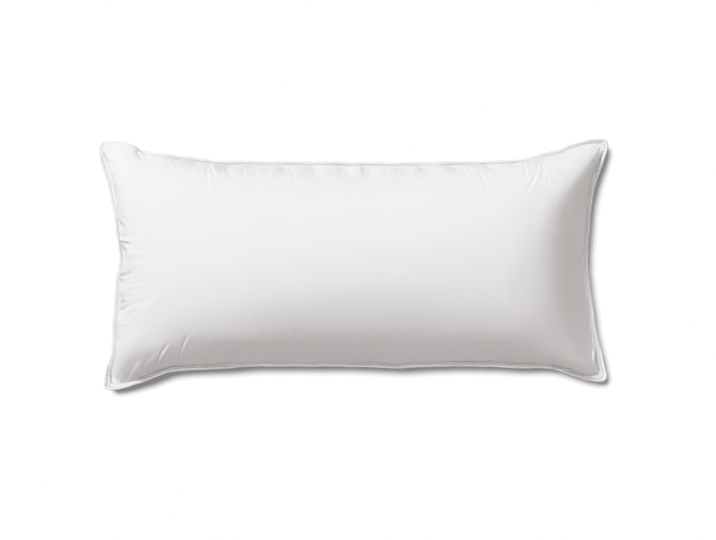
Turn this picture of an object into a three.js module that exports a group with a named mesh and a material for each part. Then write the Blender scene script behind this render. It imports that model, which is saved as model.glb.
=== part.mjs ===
// A piped down pillow lying on its back: one filled cushion and the piping sewn round its edge.
// Millimetres, +Z up, +X along the pillow. The origin is on the surface it rests on, under its middle.
import * as THREE from "three";
import { mergeVertices } from "three/addons/utils/BufferGeometryUtils.js";

// ---- Driving dimensions -------------------------------------------------------------------------
const CROWN_HEIGHT = 192; // the whole thickness, from the surface to the top of the crown
const BELLY_SINK = 23; // how far the back would hang below the surface if nothing held it up
const SETTLE_BAND = 4; // height over which the back rolls off its flat resting area
const LIES_FLAT = 2.5; // what comes this near the surface lies on it
const CORD_DIAMETER = 5; // the finished piping
const SEWN_GAP = 0.35; // between the piping and the cushion
const CORNER_ROUND = 11; // how far from its sharp corner the piping starts to turn

// How the filling swells each face. square: how flat the middle is, where 2 is an ellipse;
// steep: how fast the cloth leaves the seam, where 0.5 is an ellipse and 1 a straight slope.
const SWELL = {
  crown: { along: { square: 3.34, steep: 0.476 }, across: { square: 1.7, steep: 0.621 } },
  belly: { along: { square: 7.0, steep: 0.69 }, across: { square: 2.8, steep: 0.54 } },
};

const CELLS_LONG = 52;
const CELLS_WIDE = 30;
const CELL_GRADING = 0.55; // 0 spaces the cells evenly, 1 crowds them towards the seam
const CORD_SIDES = 8;

// The four sharp corners of the piping's centre line.
const CORNERS = {
  nearLeft: { x: -381.5, y: -190.0 },
  nearRight: { x: 384.5, y: -177.5 },
  farRight: { x: 386.0, y: 190.5 },
  farLeft: { x: -386.5, y: 184.5 },
};

// How each side is drawn in between its corners.
// at: the share of the way along the side; in: how far the piping lies inside the straight line between
// the corners; up: its height above the surface.
const NEAR_SIDE = [
  { at: 0.0, in: 0.0, up: 56 },
  { at: 0.03, in: 1.2, up: 60 },
  { at: 0.06, in: 6.8, up: 64 },
  { at: 0.1, in: 18.0, up: 69 },
  { at: 0.13, in: 26.0, up: 72 },
  { at: 0.17, in: 29.5, up: 75 },
  { at: 0.3, in: 33.4, up: 79 },
  { at: 0.46, in: 31.8, up: 80 },
  { at: 0.58, in: 28.0, up: 81 },
  { at: 0.7, in: 29.0, up: 80 },
  { at: 0.83, in: 24.6, up: 76 },
  { at: 0.88, in: 22.6, up: 73 },
  { at: 0.93, in: 11.6, up: 69 },
  { at: 0.965, in: 3.6, up: 64 },
  { at: 1.0, in: 0.0, up: 58 },
];
const RIGHT_SIDE = [
  { at: 0.0, in: 0.0, up: 58 },
  { at: 0.08, in: 5.4, up: 66 },
  { at: 0.15, in: 12.9, up: 71 },
  { at: 0.3, in: 22.8, up: 78 },
  { at: 0.4, in: 27.5, up: 80 },
  { at: 0.5, in: 30.4, up: 80 },
  { at: 0.6, in: 29.2, up: 80 },
  { at: 0.7, in: 26.4, up: 78 },
  { at: 0.8, in: 20.6, up: 74 },
  { at: 0.88, in: 11.8, up: 69 },
  { at: 0.94, in: 4.0, up: 65 },
  { at: 1.0, in: 0.0, up: 60 },
];
const FAR_SIDE = [
  { at: 0.0, in: 0.0, up: 60 },
  { at: 0.03, in: 1.8, up: 64 },
  { at: 0.06, in: 7.6, up: 67 },
  { at: 0.1, in: 18.2, up: 71 },
  { at: 0.14, in: 26.4, up: 75 },
  { at: 0.2, in: 33.4, up: 78 },
  { at: 0.4, in: 34.8, up: 81 },
  { at: 0.6, in: 33.2, up: 81 },
  { at: 0.76, in: 31.0, up: 79 },
  { at: 0.83, in: 24.6, up: 76 },
  { at: 0.89, in: 17.8, up: 72 },
  { at: 0.94, in: 7.2, up: 66 },
  { at: 0.97, in: 1.2, up: 61 },
  { at: 1.0, in: 0.0, up: 57 },
];
const LEFT_SIDE = [
  { at: 0.0, in: 0.0, up: 57 },
  { at: 0.08, in: 4.2, up: 64 },
  { at: 0.17, in: 14.6, up: 70 },
  { at: 0.27, in: 20.4, up: 75 },
  { at: 0.4, in: 25.4, up: 79 },
  { at: 0.48, in: 29.0, up: 80 },
  { at: 0.57, in: 24.0, up: 79 },
  { at: 0.7, in: 20.8, up: 76 },
  { at: 0.8, in: 17.0, up: 72 },
  { at: 0.88, in: 12.0, up: 67 },
  { at: 0.94, in: 5.2, up: 61 },
  { at: 1.0, in: 0.0, up: 56 },
];

// The soft troughs that gather the face towards its corners and seams.
// x, y: the outer end; dx, dy: to the inner end; half: half its width; deep: how far it sinks.
const TROUGHS = [
  { x: -338, y: -166, dx: 14, dy: 20, half: 6, deep: 3.2 },
  { x: -319, y: -152, dx: 17, dy: 18, half: 6, deep: 3.2 },
  { x: -297, y: -146, dx: 16, dy: 24, half: 6, deep: 4 },
  { x: -265, y: -137, dx: 15, dy: 32, half: 6, deep: 4 },
  { x: -362, y: 33, dx: 22, dy: -2, half: 6, deep: 4 },
  { x: -362, y: -11, dx: 22, dy: 0, half: 6, deep: 4 },
  { x: 205, y: 140, dx: 12, dy: -30, half: 7, deep: 3 },
  { x: 262, y: 146, dx: 16, dy: -34, half: 7, deep: 3 },
  { x: -362, y: 168, dx: 22, dy: -22, half: 6, deep: 4 },
];

// ---- The piping's centre line -------------------------------------------------------------------
function sideCurve(from, to, rows) {
  const along = new THREE.Vector2(to.x - from.x, to.y - from.y);
  const inward = new THREE.Vector2(-along.y, along.x).normalize();
  return new THREE.CatmullRomCurve3(
    rows.map(
      (row) =>
        new THREE.Vector3(
          from.x + along.x * row.at + inward.x * row.in,
          from.y + along.y * row.at + inward.y * row.in,
          row.up,
        ),
    ),
    false,
    "centripetal",
  );
}

const RING = [
  [CORNERS.nearLeft, CORNERS.nearRight, NEAR_SIDE],
  [CORNERS.nearRight, CORNERS.farRight, RIGHT_SIDE],
  [CORNERS.farRight, CORNERS.farLeft, FAR_SIDE],
  [CORNERS.farLeft, CORNERS.nearLeft, LEFT_SIDE],
].map(([from, to, rows]) => sideCurve(from, to, rows));

// Each corner is turned over by a curve, so a side runs from the middle of one turn to the middle of the next.
class PipedSide extends THREE.Curve {
  constructor(before, side, after) {
    super();
    const length = side.getLength();
    this.start = CORNER_ROUND / length;
    this.side = side;
    this.turnIn = turn(before, side);
    this.turnOut = turn(side, after);
    this.share = CORNER_ROUND / (length + 0.001);
  }
  getPoint(t, target = new THREE.Vector3()) {
    const s = this.share;
    if (t < s) return target.copy(this.turnIn.getPoint(0.5 + (0.5 * t) / s));
    if (t > 1 - s) return target.copy(this.turnOut.getPoint((0.5 * (t - 1 + s)) / s));
    return target.copy(this.side.getPointAt(this.start + ((t - s) / (1 - 2 * s)) * (1 - 2 * this.start)));
  }
}
function turn(one, next) {
  return new THREE.QuadraticBezierCurve3(
    one.getPointAt(1 - CORNER_ROUND / one.getLength()),
    one.getPointAt(1),
    next.getPointAt(CORNER_ROUND / next.getLength()),
  );
}
const SIDES = RING.map((side, i) => new PipedSide(RING[(i + 3) % 4], side, RING[(i + 1) % 4]));

// ---- Stations round the seam, one for each edge of the cushion's grid ---------------------------
function stations(cells) {
  return Array.from({ length: cells + 1 }, (_, i) => {
    const s = (2 * i) / cells - 1;
    return ((1 - CELL_GRADING) * s + CELL_GRADING * Math.sin((Math.PI / 2) * s) + 1) / 2;
  });
}
const LONG = stations(CELLS_LONG);
const WIDE = stations(CELLS_WIDE);
const cordLine = [];
for (const [i, side] of SIDES.entries()) {
  const shares = i % 2 ? WIDE : LONG;
  for (let k = 0; k < shares.length - 1; k++) cordLine.push(side.getPointAt(shares[k]));
}
const outward = cordLine.map((_, i) => {
  const n = cordLine.length;
  const run = cordLine[(i + 1) % n].clone().sub(cordLine[(i + n - 1) % n]);
  return new THREE.Vector3(run.y, -run.x, 0).normalize();
});
// The cushion's own edge, beside the piping.
const seam = cordLine.map((p, i) => p.clone().addScaledVector(outward[i], -(CORD_DIAMETER / 2 + SEWN_GAP)));

// ---- The cushion --------------------------------------------------------------------------------
function seamPoint(i, j) {
  // The seam point at a grid edge: i along the pillow, j across it.
  const n = CELLS_LONG;
  const m = CELLS_WIDE;
  if (j === 0) return seam[i];
  if (i === n) return seam[n + j];
  if (j === m) return seam[n + m + (n - i)];
  return seam[(2 * n + m + (m - j)) % seam.length];
}

function spread(i, j) {
  // A point between the four seams, each side's shape fading out across the pillow.
  const u = LONG[i];
  const v = WIDE[j];
  const near = seamPoint(i, 0);
  const far = seamPoint(i, CELLS_WIDE);
  const left = seamPoint(0, j);
  const right = seamPoint(CELLS_LONG, j);
  const p = new THREE.Vector3()
    .addScaledVector(near, 1 - v)
    .addScaledVector(far, v)
    .addScaledVector(left, 1 - u)
    .addScaledVector(right, u);
  return p
    .addScaledVector(seamPoint(0, 0), -(1 - u) * (1 - v))
    .addScaledVector(seamPoint(CELLS_LONG, 0), -u * (1 - v))
    .addScaledVector(seamPoint(0, CELLS_WIDE), -(1 - u) * v)
    .addScaledVector(seamPoint(CELLS_LONG, CELLS_WIDE), -u * v);
}

function fullness(i, j, swell) {
  // 0 on the seam, 1 on the middle of the face.
  const part = (share, { square, steep }) => Math.pow(1 - Math.pow(Math.abs(2 * share - 1), square), steep);
  return part(LONG[i], swell.along) * part(WIDE[j], swell.across);
}

function troughDepth(x, y) {
  let sunk = 0;
  for (const t of TROUGHS) {
    const length = Math.hypot(t.dx, t.dy);
    const along = ((x - t.x) * t.dx + (y - t.y) * t.dy) / (length * length);
    const off = Math.abs((x - t.x) * t.dy - (y - t.y) * t.dx) / length;
    const inside = Math.min(Math.max(1.25 - Math.abs(along - 0.5) * 1.7, 0), 1);
    sunk += t.deep * inside * Math.exp(-((off / t.half) ** 2));
  }
  return sunk;
}

function settled(height) {
  // A height below the surface becomes 0, with a soft roll between.
  if (height <= -SETTLE_BAND) return 0;
  const rolled = height >= SETTLE_BAND ? height : (height + SETTLE_BAND) ** 2 / (4 * SETTLE_BAND);
  return rolled < LIES_FLAT ? 0 : rolled;
}

function cushion() {
  const n = CELLS_LONG;
  const m = CELLS_WIDE;
  const positions = [];
  const index = [];
  const point = (i, j, side) => {
    const p = spread(i, j);
    const full = fullness(i, j, side > 0 ? SWELL.crown : SWELL.belly);
    const reach = side > 0 ? CROWN_HEIGHT : -BELLY_SINK;
    p.z += (reach - p.z) * full;
    if (side > 0) p.z -= troughDepth(p.x, p.y) * Math.min(1, full * 3);
    else p.z = settled(p.z);
    return p;
  };
  const id = [[], []];
  for (const face of [0, 1]) {
    for (let i = 0; i <= n; i++) {
      for (let j = 0; j <= m; j++) {
        const edge = i === 0 || j === 0 || i === n || j === m;
        if (face && edge) {
          id[1][i * (m + 1) + j] = id[0][i * (m + 1) + j];
          continue;
        }
        const p = edge ? seamPoint(i, j) : point(i, j, face ? -1 : 1);
        id[face][i * (m + 1) + j] = positions.length / 3;
        positions.push(p.x, p.y, p.z);
      }
    }
  }
  for (const face of [0, 1]) {
    for (let i = 0; i < n; i++) {
      for (let j = 0; j < m; j++) {
        const a = id[face][i * (m + 1) + j];
        const b = id[face][(i + 1) * (m + 1) + j];
        const c = id[face][(i + 1) * (m + 1) + j + 1];
        const d = id[face][i * (m + 1) + j + 1];
        // The diagonal points at the pillow's middle, so no corner cell folds over its own edge.
        const across = i < n / 2 === j < m / 2;
        const cell = across ? [a, b, c, a, c, d] : [a, b, d, b, c, d];
        if (face) cell.reverse();
        index.push(...cell);
      }
    }
  }
  const geometry = new THREE.BufferGeometry();
  geometry.setAttribute("position", new THREE.Float32BufferAttribute(positions, 3));
  geometry.setIndex(index);
  geometry.computeVertexNormals();
  return geometry;
}

// ---- The piping: a round section swept along its centre line, closed on itself ------------------
function piping() {
  const count = cordLine.length;
  const positions = [];
  const index = [];
  for (let k = 0; k < count; k++) {
    for (let s = 0; s < CORD_SIDES; s++) {
      const a = ((s + 0.5) * 2 * Math.PI) / CORD_SIDES;
      const p = cordLine[k].clone().addScaledVector(outward[k], (CORD_DIAMETER / 2) * Math.cos(a));
      positions.push(p.x, p.y, p.z + (CORD_DIAMETER / 2) * Math.sin(a));
    }
  }
  for (let k = 0; k < count; k++) {
    for (let s = 0; s < CORD_SIDES; s++) {
      const a = k * CORD_SIDES + s;
      const b = k * CORD_SIDES + ((s + 1) % CORD_SIDES);
      const c = ((k + 1) % count) * CORD_SIDES + ((s + 1) % CORD_SIDES);
      const d = ((k + 1) % count) * CORD_SIDES + s;
      index.push(a, d, c, a, c, b);
    }
  }
  const geometry = new THREE.BufferGeometry();
  geometry.setAttribute("position", new THREE.Float32BufferAttribute(positions, 3));
  geometry.setIndex(index);
  geometry.computeVertexNormals();
  return mergeVertices(geometry);
}

const cover = new THREE.MeshStandardMaterial({ color: 0xf3f4f6, roughness: 0.82, metalness: 0 });
const trim = new THREE.MeshStandardMaterial({ color: 0xf0f0f2, roughness: 0.78, metalness: 0 });

const pillow = new THREE.Group();
pillow.name = "down_pillow";
const body = new THREE.Mesh(cushion(), cover);
body.name = "pillow_body";
const cord = new THREE.Mesh(piping(), trim);
cord.name = "piping";
pillow.add(body, cord);
// The middle of the whole outline goes over the origin.
const middle = new THREE.Box3().setFromObject(pillow).getCenter(new THREE.Vector3());
pillow.position.set(-middle.x, -middle.y, 0);

export default pillow;
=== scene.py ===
import bmesh
import bpy
import math
import numpy as np
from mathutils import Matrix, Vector


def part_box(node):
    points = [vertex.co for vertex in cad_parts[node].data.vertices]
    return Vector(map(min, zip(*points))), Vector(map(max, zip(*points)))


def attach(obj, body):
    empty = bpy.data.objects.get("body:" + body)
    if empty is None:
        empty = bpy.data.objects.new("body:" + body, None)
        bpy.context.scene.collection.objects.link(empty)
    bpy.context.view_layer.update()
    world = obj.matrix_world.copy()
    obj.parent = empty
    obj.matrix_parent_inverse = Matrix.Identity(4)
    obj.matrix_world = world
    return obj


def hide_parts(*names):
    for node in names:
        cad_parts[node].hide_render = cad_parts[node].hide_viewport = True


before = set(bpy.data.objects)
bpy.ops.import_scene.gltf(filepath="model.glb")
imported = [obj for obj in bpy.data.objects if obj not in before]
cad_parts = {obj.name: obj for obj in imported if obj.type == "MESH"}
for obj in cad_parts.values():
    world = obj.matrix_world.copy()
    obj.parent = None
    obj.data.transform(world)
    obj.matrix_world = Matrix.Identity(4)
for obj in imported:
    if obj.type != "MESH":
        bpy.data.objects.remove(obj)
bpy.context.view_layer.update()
MM = 0.001

# ---- Driving sizes (mm) ---------------------------------------------------------------------------
CUT = (795.0, 397.0)  # what each panel measures flat, between its seams
CORD_RADIUS = 2.5
PANEL_STEP = 0.5  # half the thickness of the sewn edge where the panels start to swell

NX, NY = 280, 140  # cells that the cloth is settled with, along and across
GRADING = 0.45

# The four sharp corners of the piping's centre line, and how far from each the piping and the line where
# the panels start begin to turn.
CORNERS = {
    "near_left": (-381.5, -190.0, 14.0, 10.0),
    "near_right": (384.5, -177.5, 12.0, 19.0),
    "far_right": (386.0, 190.5, 12.0, 13.0),
    "far_left": (-387.3, 186.8, 14.0, 12.0),
}
# Each side, from corner to corner: (share of the way, how far it is drawn in)
NEAR_IN = [(0, 0), (.012, .1), (.03, 1.6), (.05, 5), (.075, 10.9), (.1, 18), (.13, 26), (.165, 29.5), (.22, 30.3), (.3, 33.8),
           (.4, 32.7), (.5, 31.1), (.58, 27.8), (.66, 29.3), (.75, 28.3), (.83, 24.3), (.87, 23.8), (.905, 19.5), (.935, 10.7),
           (.96, 4.6), (.985, 1.1), (1, 0)]
RIGHT_IN = [(0, 0), (.03, 1.2), (.08, 5.4), (.15, 12.9), (.22, 18.8), (.3, 23.4), (.4, 28.6), (.5, 32.2), (.6, 30.5), (.7, 27.4),
            (.8, 21.5), (.87, 13), (.93, 4.8), (.97, 1.5), (1, 0)]
FAR_IN = [(0, 0), (.012, 1.1), (.03, 2), (.055, 6.5), (.08, 12.4), (.1, 18.6), (.125, 22.6), (.15, 28.7), (.2, 34), (.3, 35.2),
          (.4, 36.2), (.5, 35.2), (.6, 34.6), (.7, 33.3), (.77, 31.8), (.82, 26.3), (.86, 22.8), (.88, 20.9), (.9, 18.2), (.92, 14.6), (.94, 11.2),
          (.957, 6.2), (.975, 1.1), (1, 0)]
LEFT_IN = [(0, 0), (.03, 2), (.08, 4), (.13, 9.6), (.18, 15.7), (.25, 20.8), (.32, 24.8), (.4, 27.9), (.48, 31.1), (.55, 26.3),
           (.62, 23.6), (.68, 21.5), (.76, 19.1), (.84, 17), (.88, 13.4), (.92, 7.4), (.94, 5.4), (.97, 4.3), (1, 0)]
# The same sides: (share, height above the surface)
NEAR_UP = [(0, 56), (.03, 60), (.06, 64), (.1, 69), (.17, 75), (.3, 79), (.46, 80), (.58, 81), (.7, 80), (.83, 76), (.88, 73), (.93, 69), (.965, 64), (1, 58)]
RIGHT_UP = [(0, 58), (.08, 66), (.15, 71), (.3, 78), (.4, 80), (.6, 80), (.7, 78), (.8, 74), (.88, 69), (.94, 65), (1, 60)]
FAR_UP = [(0, 60), (.03, 64), (.06, 67), (.1, 71), (.2, 78), (.4, 81), (.6, 81), (.76, 79), (.83, 76), (.89, 72), (.94, 66), (.97, 61), (1, 57)]
LEFT_UP = [(0, 57), (.08, 64), (.17, 70), (.27, 75), (.4, 79), (.48, 80), (.57, 79), (.7, 76), (.8, 72), (.88, 67), (.94, 61), (1, 56)]
# The same sides: (share, how wide the sewn edge shows: from the cord's centre line in to where the panels
# start). It is broad where the seam has rolled over, beside the left and the near right corners.
NEAR_EDGE = [(0, 9), (.02, 6.4), (.05, 5.4), (.5, 5.4), (.86, 5.2), (.885, 4.4), (.9, 4.4), (.925, 5.6), (.97, 7), (1, 8)]
RIGHT_EDGE = [(0, 8.5), (.045, 9), (.12, 8.6), (.2, 7.8), (.335, 6.1), (.5, 6.1), (.6, 5.7), (.7, 5.3), (.87, 5.8), (.94, 4.8), (1, 4.4)]
FAR_EDGE = [(0, 4.4), (.1, 4.5), (.2, 4.3), (.4, 4.3), (.6, 4.8), (.8, 4.8), (.9, 4.4), (1, 4.4)]
LEFT_EDGE = [(0, 4.4), (.035, 4.6), (.06, 7), (.09, 11.5), (.12, 14.5), (.14, 13.4), (.165, 11), (.2, 8.8), (.27, 6.2), (.4, 5), (.6, 5.4),
             (.8, 5.8), (.88, 5.9), (.92, 6.8), (.95, 9.5), (.98, 10.5), (1, 10)]
# Where the piping and the sewn edge are gathered into small slanting folds.
# side, share of the way along it, half the stretch's length (mm), how high the folds stand on the cord (mm)
# and on the sewn edge (mm)
CRUMPLES = [
    ("left", .105, 26, .3, .8), ("left", .955, 15, .5, .85), ("left", .40, 20, .16, .20), ("left", .48, 12, .25, .30), ("left", .60, 30, .12, .18),
    ("near", .01, 10, .20, .30), ("near", .895, 11, .30, .25), ("right", .98, 9, .45, .45), ("right", .10, 30, .12, .22), ("near", .975, 12, .12, .30),
    ("far", .80, 50, .12, .15), ("far", .60, 30, .10, .10), ("far", .16, 16, .20, .20),
]
# Short kinks in the seam. side, share, half length (mm), how far in (mm), how far up (mm)
KINKS = [
    ("near", .893, 5.0, 1.0, 0.6), ("near", .158, 6.0, -0.5, 0.0), ("left", .40, 4.5, 0.8, 0.4), ("left", .523, 4.0, 0.7, 0.3), ("left", .36, 3.5, -0.5, 0.2),
    ("far", .16, 6.0, 0.9, 0.3), ("far", .77, 5.0, 0.7, 0.3), ("far", .585, 6.0, -0.4, 0.0), ("right", .47, 8.0, 0.4, 0.0), ("near", .60, 14.0, -0.6, 0.0),
]
# The ear: at the far left corner the plump corner rolls out over the piping, from so far along the far
# side, round the tip and a little way down the left side.
EAR_FAR, EAR_LEFT = 66.0, 14.0
EAR_DROP = 8.0  # how far the piping sinks beneath it
# How the cloth moves there: (way in from the sewn edge, outward, up)
EAR_ROLL = [(0, 0, 0), (2.5, 4.6, 1.6), (5, 9.4, 1.6), (8, 13.4, 1.6), (12, 14.6, 2.6), (17, 12.6, 3.6), (24, 8.8, 3.2), (34, 4, 1.6), (48, 0, 0)]
# How the right flank falls from the crown: (way in from the panel's edge, slope), and how much of that
# applies at a place along it.
RIGHT_FALL = [(0, 1.55), (32, 1.55), (38.5, 1.35), (43, 1.08), (48, .9), (52.5, .78), (61.5, .6), (75.5, .47), (84.5, .39), (102.5, .28), (118, .22)]
RIGHT_ALONG = [(-150, 0), (-130, .5), (-85, .95), (-60, 1), (60, 1), (73, .92), (95, .6), (115, .25), (140, 0)]
# Where the near flank falls away sooner or later than the settling alone has it: a place across and how far
# the cloth there sits off, then a place along and how much of that applies there.
NEAR_SHIFT = [(-150, 0), (-140, -1), (-125, -3.5), (-115, -6), (-105, -8.5), (-95, -9), (-86, -8), (-70, -6.5), (-50, -5), (-30, -2.5), (0, 0)]
NEAR_ALONG = [(-255, 0), (-190, .8), (-140, 1), (-90, .72), (260, .7), (290, .4), (325, 0)]

# ---- Small helpers ----------------------------------------------------------------------------------
def monotone(rows, q):
    """A smooth line through (x, y) rows that never overshoots them."""
    x = np.array([r[0] for r in rows], float)
    y = np.array([r[1] for r in rows], float)
    h = np.diff(x)
    d = np.diff(y) / h
    m = np.zeros_like(y)
    for k in range(1, len(x) - 1):
        if d[k - 1] * d[k] > 0:
            a, b = 2 * h[k] + h[k - 1], h[k] + 2 * h[k - 1]
            m[k] = (a + b) / (a / d[k - 1] + b / d[k])
    m[0], m[-1] = d[0], d[-1]
    i = np.clip(np.searchsorted(x, q) - 1, 0, len(h) - 1)
    t = (q - x[i]) / h[i]
    return ((2 * t**3 - 3 * t**2 + 1) * y[i] + (t**3 - 2 * t**2 + t) * h[i] * m[i]
            + (-2 * t**3 + 3 * t**2) * y[i + 1] + (t**3 - t**2) * h[i] * m[i + 1])


def smooth(t):
    t = np.clip(t, 0, 1)
    return t * t * (3 - 2 * t)


def run_of(p):
    """How far along a polyline each of its points lies."""
    return np.r_[0, np.cumsum(np.linalg.norm(np.diff(p, axis=0), axis=1))]


def at_share(p, q):
    s = run_of(p)
    return np.column_stack([np.interp(q * s[-1], s, p[:, k]) for k in range(p.shape[1])])


def waves(s, rows):
    """A sum of sines along s: rows of (wavelength, height, phase)."""
    return sum(h * np.sin(2 * np.pi * (s / w) + p) for w, h, p in rows)


def spread_noise(x, y, seed, wavelength, count=26):
    """Smooth uneven hills, about 1 high, with no repeat: plane waves from a fixed seed."""
    rng = np.random.RandomState(seed)
    out = np.zeros_like(x)
    for _ in range(count):
        a = rng.uniform(0, 2 * np.pi)
        w = wavelength * rng.uniform(0.7, 1.6)
        out += np.cos((x * np.cos(a) + y * np.sin(a)) * 2 * np.pi / w + rng.uniform(0, 2 * np.pi))
    return out / math.sqrt(count / 2)


# ---- The piping's centre line, and the line where the panels start (mm) ---------------------------------
SIDES = ["near", "right", "far", "left"]
NAMES = list(CORNERS)
IN_ROWS = {"near": NEAR_IN, "right": RIGHT_IN, "far": FAR_IN, "left": LEFT_IN}
UP_ROWS = {"near": NEAR_UP, "right": RIGHT_UP, "far": FAR_UP, "left": LEFT_UP}
EDGE_ROWS = {"near": NEAR_EDGE, "right": RIGHT_EDGE, "far": FAR_EDGE, "left": LEFT_EDGE}


def turned_in(p):
    """Level unit vectors that point into the pillow from an open line that has it on its left."""
    t = np.gradient(p[:, :2], axis=0)
    o = np.column_stack([-t[:, 1], t[:, 0]])
    return o / np.linalg.norm(o, axis=1)[:, None]


def side_lines(n=1600):
    """Per side, the piping's line and the panels' line, sharp cornered."""
    cord, panel = [], []
    for k, name in enumerate(SIDES):
        a, b = np.array(CORNERS[NAMES[k]][:2]), np.array(CORNERS[NAMES[(k + 1) % 4]][:2])
        d = b - a
        inward = np.array([-d[1], d[0]]) / np.hypot(*d)
        q = np.linspace(0, 1, n)
        drawn = monotone(IN_ROWS[name], q)
        up = monotone(UP_ROWS[name], q)
        for side, at, half, more_in, more_up in KINKS:
            if side == name:
                bump = np.exp(-(((q - at) * np.hypot(*d) / half) ** 2))
                drawn, up = drawn + more_in * bump, up + more_up * bump
        p = np.column_stack([a + q[:, None] * d + drawn[:, None] * inward, up])
        w = p.copy()
        w[:, :2] += turned_in(p) * monotone(EDGE_ROWS[name], q)[:, None]
        cord.append(p)
        panel.append(w)
    return cord, panel


def joined(lines, turns):
    """Four lines that meet or cross near their ends, as rounded sides from one turn's middle to the next."""
    runs = [run_of(p) for p in lines]
    starts, ends, points = [0.0] * 4, [0.0] * 4, [None] * 4
    for k in range(4):
        a, b = lines[k - 1], lines[k]
        ta, hb = np.flatnonzero(runs[k - 1] > runs[k - 1][-1] - 50), np.flatnonzero(runs[k] < 50)
        gap = np.linalg.norm(a[ta][:, None, :2] - b[hb][None, :, :2], axis=2)
        i, j = np.unravel_index(gap.argmin(), gap.shape)
        points[k] = (a[ta[i]] + b[hb[j]]) / 2
        ends[k - 1], starts[k] = runs[k - 1][ta[i]] - turns[k], runs[k][hb[j]] + turns[k]
    kept = []
    for k, p in enumerate(lines):
        s = runs[k]
        tips = [np.array([np.interp(t, s, p[:, c]) for c in range(3)]) for t in (starts[k], ends[k])]
        inner = (s > starts[k] + .01) & (s < ends[k] - .01)
        kept.append(np.vstack([tips[0], p[inner], tips[1]]))
    arcs = []
    for k in range(4):
        a, c, b = kept[k - 1][-1], points[k], kept[k][0]
        t = np.linspace(0, 1, 61)[:, None]
        arcs.append((1 - t) ** 2 * a + 2 * t * (1 - t) * c + t**2 * b)
    return [np.vstack([arcs[k][30:], kept[k][1:-1], arcs[(k + 1) % 4][:31]]) for k in range(4)]


def stations(n):
    s = np.linspace(-1, 1, n + 1)
    return ((1 - GRADING) * s + GRADING * np.sin(np.pi / 2 * s) + 1) / 2


cord_lines, panel_lines = side_lines()
cord_sides = joined(cord_lines, [CORNERS[n][2] for n in NAMES])
panel_sides = joined(panel_lines, [CORNERS[n][3] for n in NAMES])
whole = np.vstack([p[:-1] for p in cord_sides])
cad_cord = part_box("piping")
for c in (0, 1):
    shift = (cad_cord[0][c] + cad_cord[1][c]) / 2 / MM - (whole[:, c].max() + whole[:, c].min()) / 2
    for p in cord_sides + panel_sides:
        p[:, c] += shift

# The finest grid has twice the cells that the cloth is settled with.
UF, VF = stations(2 * NX), stations(2 * NY)
U, V = UF[::2], VF[::2]


def loop_of(sides):
    """One point for each edge point of the finest panel, round the loop from the near left corner."""
    return np.vstack([at_share(p, q)[:-1] for p, q in zip(sides, (UF, VF, UF, VF))])


ring, edge = loop_of(cord_sides), loop_of(panel_sides)
NB = len(ring)
edge[:, 2] = ring[:, 2]
ring_side = np.repeat(SIDES, [2 * NX, 2 * NY, 2 * NX, 2 * NY])
ring_share = np.concatenate([q[:-1] for q in (UF, VF, UF, VF)])
ring_s = run_of(np.vstack([ring, ring[:1]]))
ring_len, ring_s = ring_s[-1], ring_s[:-1]
corner_at = dict(zip(NAMES, ring_s[[0, 2 * NX, 2 * (NX + NY), 2 * (2 * NX + NY)]]))


def loop_gap(s, at):
    """How far along the loop past a place, the short way round."""
    return (s - at + ring_len / 2) % ring_len - ring_len / 2


def outward_of(p, s, width=3.0):
    """Level unit vectors that point out of a loop, from its direction over a few mm."""
    total = s[-1] + np.linalg.norm(p[0] - p[-1])
    ss = np.r_[s - total, s, s + total]
    pp = np.vstack([p, p, p])
    a = np.column_stack([np.interp(s + width, ss, pp[:, c]) for c in (0, 1)])
    b = np.column_stack([np.interp(s - width, ss, pp[:, c]) for c in (0, 1)])
    t = a - b
    o = np.column_stack([t[:, 1], -t[:, 0]])
    return o / np.linalg.norm(o, axis=1)[:, None]


ring_out = outward_of(ring, ring_s)
# The seam is nowhere quite straight.
wobble = waves(ring_s, [(ring_len / 37, .22, .4), (ring_len / 71, .15, 2.0), (ring_len / 131, .09, 1.1)])
ring[:, :2] += ring_out * wobble[:, None]
edge[:, :2] += ring_out * wobble[:, None]
ear = smooth((loop_gap(ring_s, corner_at["far_left"]) + EAR_FAR + 10) / 24) * smooth((EAR_LEFT + 8 - loop_gap(ring_s, corner_at["far_left"])) / 12)
ring[:, 2] -= EAR_DROP * ear
edge[:, 2] -= EAR_DROP * ear
# Where the sewn edge is pulled flat: along the far side, and less so along the left one.
pulled_flat = np.interp(ring_s, [0, corner_at["far_right"] - 15, corner_at["far_right"] + 15, corner_at["far_left"] - 30, corner_at["far_left"] + 30, ring_len - 40, ring_len],
                        [0, 0, 1, 1, .6, .6, 0])
# How high the folded allowance stands in the sewn edge, round the loop.
allowance = 0.9 + 0.12 * np.clip(waves(ring_s, [(ring_len / 27, .6, .4), (ring_len / 61, .5, 2.0), (ring_len / 12, .5, 1.1)]), -1, 1)


def crumple_of(column):
    out = np.zeros(NB)
    for row in CRUMPLES:
        of_side = ring_side == row[0]
        at = np.interp(row[1], ring_share[of_side], ring_s[of_side])
        out = np.maximum(out, row[column] * np.exp(-((loop_gap(ring_s, at) / row[2]) ** 2)))
    return out


cord_crumple, edge_crumple = crumple_of(3), crumple_of(4)


def ring_sides(p, n, m):
    """A loop's points as the four edges of a panel: near, right, far, left."""
    q = np.vstack([p, p[:1]])
    return q[: n + 1], q[n: n + m + 1], q[n + m: 2 * n + m + 1][::-1], q[2 * n + m:][::-1]


def spread(p, u, v):
    """The points between the four seams, each side's shape fading out across the pillow (a Coons patch)."""
    near, right, far, left = ring_sides(p, len(u) - 1, len(v) - 1)
    u, v = u[:, None, None], v[None, :, None]
    out = near[:, None] * (1 - v) + far[:, None] * v + left[None] * (1 - u) + right[None] * u
    return out - (near[0] * (1 - u) * (1 - v) + near[-1] * u * (1 - v) + far[0] * (1 - u) * v + far[-1] * u * v)


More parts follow.
